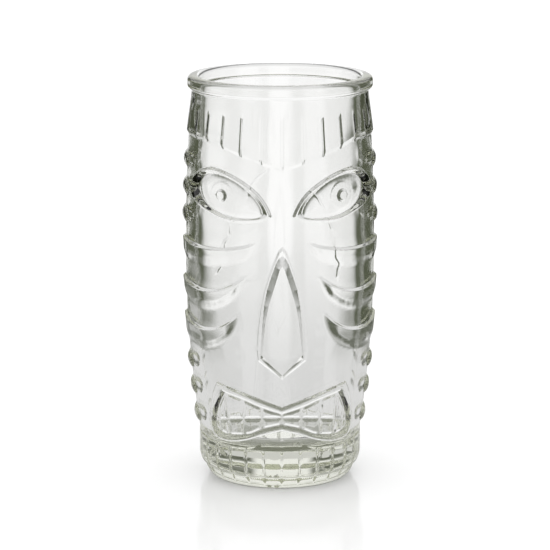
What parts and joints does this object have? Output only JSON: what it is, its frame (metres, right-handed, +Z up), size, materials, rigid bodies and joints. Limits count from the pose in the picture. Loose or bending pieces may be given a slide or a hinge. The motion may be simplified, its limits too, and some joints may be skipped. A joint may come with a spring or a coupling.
{
  "type": "tiki glass",
  "caption": "Tall barrel-shaped clear glass tumbler with a tiki mask pressed into its front, a column of knobs on each side, a round rim and a thick fluted base.",
  "frame": {"origin": "centre of the circle that the foot stands on", "axes": "+Z up along the glass's middle line; the mask's nose points along -Y; +X to the right of someone who faces the mask"},
  "size_m": [0.0822, 0.0816, 0.171],
  "materials": {
    "clear_glass": "polished, with a faint olive tint"
  },
  "bodies": {
    "root": {"base": "clear_glass", "wall": "clear_glass", "rim": "clear_glass", "forehead_fringe": "clear_glass", "base_flutes": "clear_glass", "right_side_knobs": "clear_glass", "left_side_knobs": "clear_glass", "nose": "clear_glass", "right_eye_rim": "clear_glass", "left_eye_rim": "clear_glass", "right_eyeball": "clear_glass", "left_eyeball": "clear_glass", "right_cheek_rib_1": "clear_glass", "right_cheek_rib_2": "clear_glass", "right_cheek_rib_3": "clear_glass", "left_cheek_rib_1": "clear_glass", "left_cheek_rib_2": "clear_glass", "left_cheek_rib_3": "clear_glass", "right_lips": "clear_glass", "left_lips": "clear_glass", "upper_teeth": "clear_glass", "lower_teeth": "clear_glass"}
  },
  "joints": []
}
